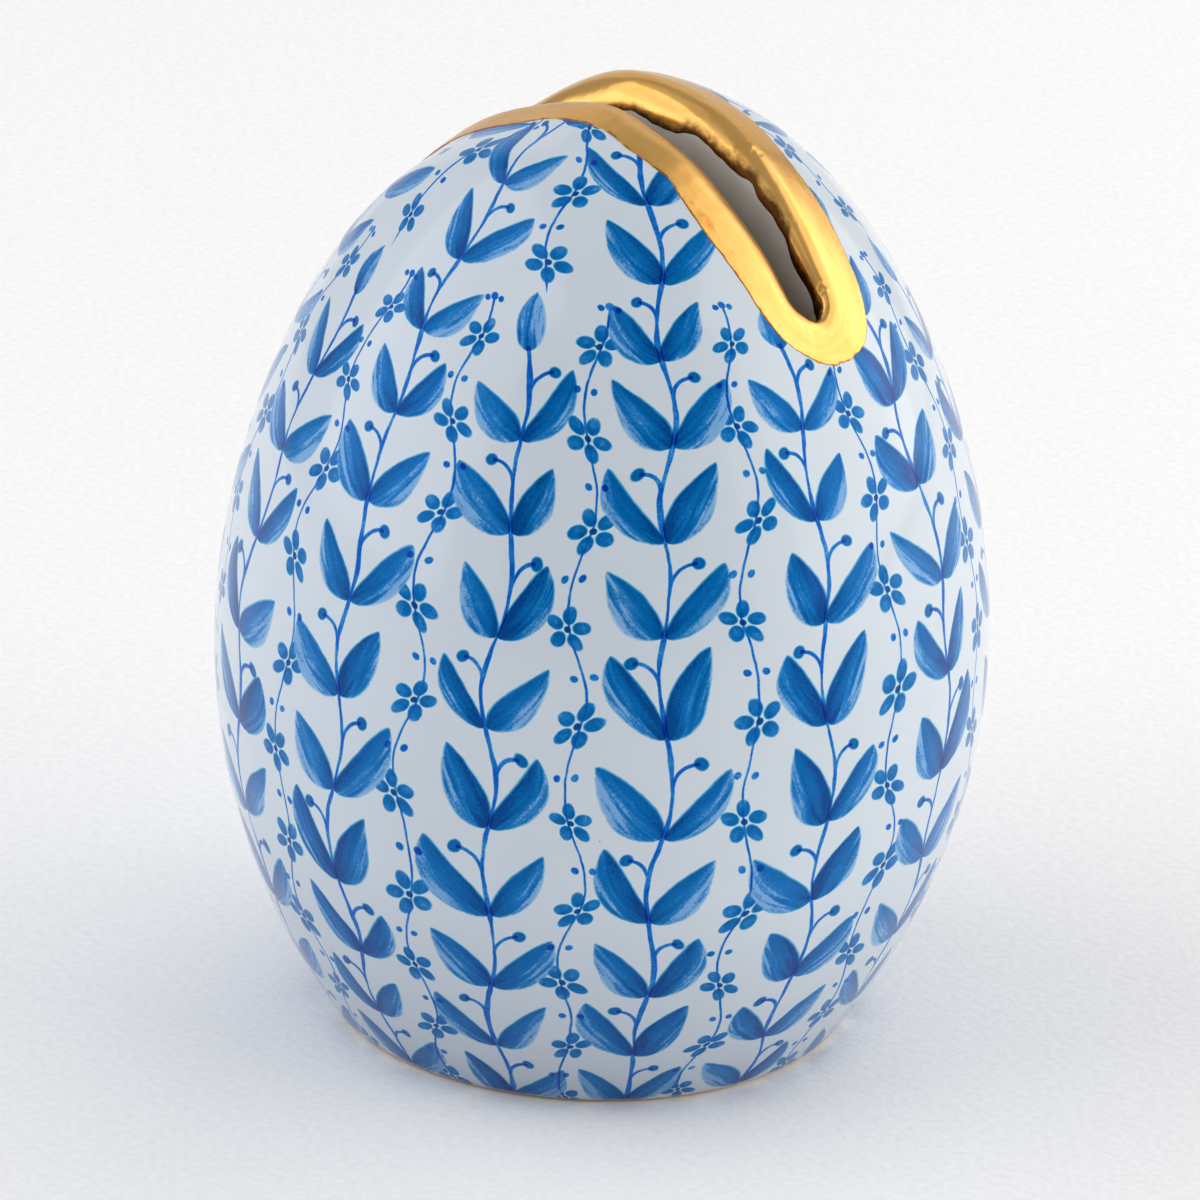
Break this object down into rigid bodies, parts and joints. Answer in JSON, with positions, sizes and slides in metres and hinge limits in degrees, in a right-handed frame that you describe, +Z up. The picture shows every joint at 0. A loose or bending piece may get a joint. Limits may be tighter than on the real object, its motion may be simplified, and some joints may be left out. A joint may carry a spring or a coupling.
{
  "type": "porcelain egg place card holder",
  "caption": "Egg on a small flat foot, in glossy hand-painted porcelain, with a gilded slot over its crown that holds a card by its lower edge.",
  "frame": {"origin": "centre of the flat foot, on the surface that the egg stands on", "axes": "+Z up through the crown; the card slot runs along X, so a card in it faces -Y"},
  "size_m": [0.034, 0.034, 0.0429],
  "materials": {
    "glazed_porcelain": "white slip-cast porcelain, painted in blue under a clear gloss glaze",
    "gilding": "burnished gold fired onto the glaze, over the lips of the slot"
  },
  "bodies": {
    "root": {"porcelain_egg": "glazed_porcelain"}
  },
  "joints": []
}
